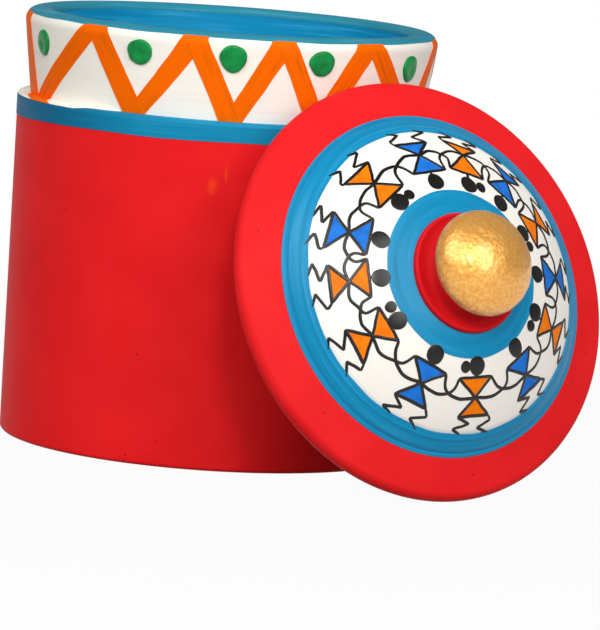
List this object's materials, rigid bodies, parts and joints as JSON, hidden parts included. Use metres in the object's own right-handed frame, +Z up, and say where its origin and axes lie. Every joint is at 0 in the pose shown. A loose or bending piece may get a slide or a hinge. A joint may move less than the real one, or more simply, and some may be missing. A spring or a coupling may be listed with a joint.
{
  "type": "lidded box",
  "caption": "Round painted terracotta box with a straight body, a flared collar and a domed lid with a button knob; the lid is off and leans on the box.",
  "frame": {"origin": "middle of the box's base, on the surface that it stands on", "axes": "+Z up along the box's axis; the lid stands on the -Y side, its face turned to -Y and its middle shifted to +X"},
  "size_m": [0.1116, 0.1528, 0.1013],
  "materials": {
    "red_paint": "matte paint on terracotta",
    "white_paint": "matte paint on terracotta",
    "blue_paint": "satin paint on terracotta",
    "green_paint": "gloss paint drop",
    "gold_paint": "gold leaf paint on terracotta",
    "orange_paint": "brushed paint",
    "royal_blue_paint": "marker fill",
    "amber_paint": "marker fill",
    "black_ink": "marker line"
  },
  "bodies": {
    "box": {"base_disc": "red_paint", "body_wall": "red_paint", "rim_collar": "white_paint", "rim_drops": "green_paint"},
    "lid": {"lid_flange": "red_paint", "lid_dome": "white_paint", "locating_ring": "blue_paint", "knob_neck": "red_paint", "knob_ball": "gold_paint"}
  },
  "joints": [
    {"name": "lid_tip", "type": "hinge", "parent": "box", "child": "lid", "pos_m": [0.0122, -0.08761, 0.0024], "axis": [1, 0, 0], "range_deg": [0, 75]}
  ]
}
